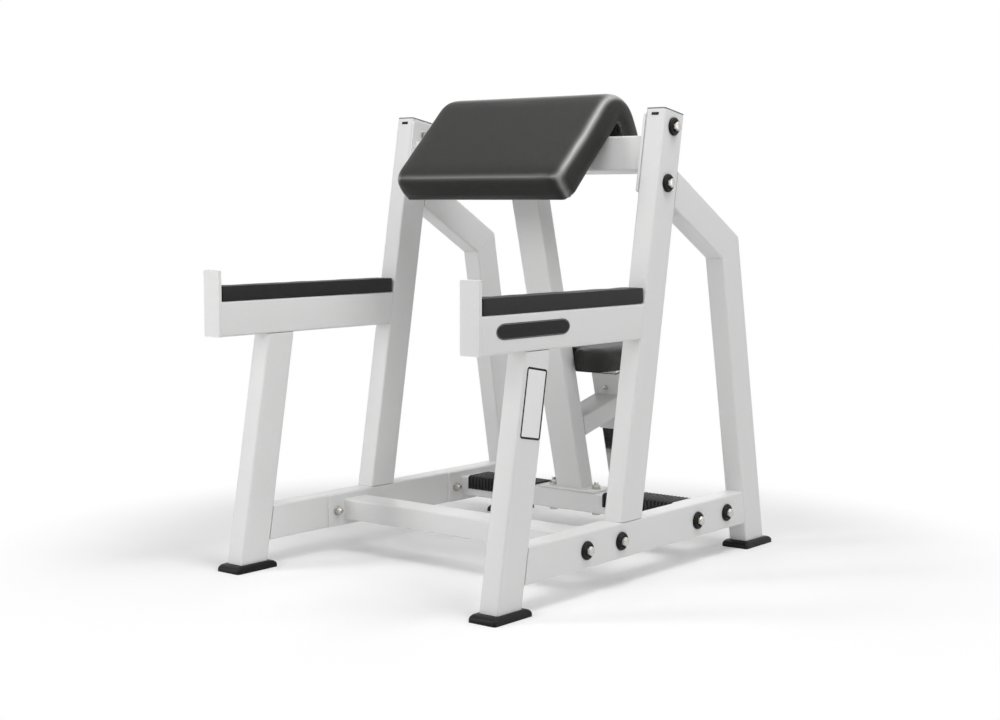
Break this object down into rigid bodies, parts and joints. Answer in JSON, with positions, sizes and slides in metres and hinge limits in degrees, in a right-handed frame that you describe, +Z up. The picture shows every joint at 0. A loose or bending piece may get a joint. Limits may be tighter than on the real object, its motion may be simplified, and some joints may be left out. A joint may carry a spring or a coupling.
{
  "type": "biceps machine",
  "caption": "Free-weight preacher-curl bench: two braced side frames with padded bar rests, an inverted-V arm pad and a seat that slides on a leaning post.",
  "frame": {"origin": "on the floor under the middle of the bench's bounding box", "axes": "+Z up, +X towards the left hand of the seated user, +Y to the rear, where the user sits"},
  "size_m": [0.83, 1.1424, 1.0932],
  "materials": {
    "white_coat": "white powder coat, fine orange peel, half gloss",
    "upholstery": "charcoal coated upholstery cloth with a fine grain",
    "board": "black-stained board",
    "rubber": "matt black rubber",
    "black_plastic": "black moulded plastic",
    "grey_plastic": "grey moulded plastic",
    "chrome": "polished chrome plate",
    "zinc": "zinc-plated steel"
  },
  "bodies": {
    "frame": {"arm_pad": "upholstery", "beam_bolt_left": "zinc", "beam_bolt_right": "zinc", "bottom_rail_left": "white_coat", "bottom_rail_right": "white_coat", "brace_left": "white_coat", "brace_right": "white_coat", "centre_post": "white_coat", "foot_pad_left": "rubber", "foot_pad_right": "rubber", "frame_bolt_left_1": "zinc", "frame_bolt_left_2": "zinc", "frame_bolt_left_3": "zinc", "frame_bolt_left_4": "zinc", "frame_bolt_left_5": "zinc", "frame_bolt_left_6": "zinc", "frame_bolt_right_1": "zinc", "frame_bolt_right_2": "zinc", "frame_bolt_right_3": "zinc", "frame_bolt_right_4": "zinc", "frame_bolt_right_5": "zinc", "frame_bolt_right_6": "zinc", "front_cross_member": "white_coat", "front_foot_left": "black_plastic", "front_foot_right": "black_plastic", "front_leg_left": "white_coat", "front_leg_right": "white_coat", "guide_bush_lower": "black_plastic", "guide_bush_upper": "black_plastic", "pad_angle_front": "white_coat", "pad_angle_rear": "white_coat", "pad_beam": "white_coat", "pad_board": "board", "pin_barrel": "zinc", "post_bolt_left": "zinc", "post_bolt_right": "zinc", "rear_cross_member": "white_coat", "rear_foot_left": "black_plastic", "rear_foot_right": "black_plastic", "rear_leg_left": "white_coat", "rear_leg_right": "white_coat", "rest_arm_left": "white_coat", "rest_arm_right": "white_coat", "rest_rubber_left": "rubber", "rest_rubber_right": "rubber", "seat_arm": "white_coat", "seat_sleeve": "white_coat", "sleeve_screw": "zinc", "stop_plate_left": "white_coat", "stop_plate_right": "white_coat", "top_cap_left": "grey_plastic", "top_cap_right": "grey_plastic", "upright_left": "white_coat", "upright_right": "white_coat"},
    "seat": {"seat_tube": "chrome", "seat_tube_plug": "black_plastic", "seat_plate": "white_coat", "seat_board": "board", "seat_cushion": "upholstery"},
    "pin": {"pull_pin": "black_plastic"}
  },
  "joints": [
    {"name": "seat_height", "type": "slide", "parent": "frame", "child": "seat", "axis": [0, -0.2504, 0.9681], "range_m": [0, 0.1]},
    {"name": "pull_pin", "type": "slide", "parent": "frame", "child": "pin", "axis": [1, 0, 0], "range_m": [-0.009, 0.004]}
  ]
}
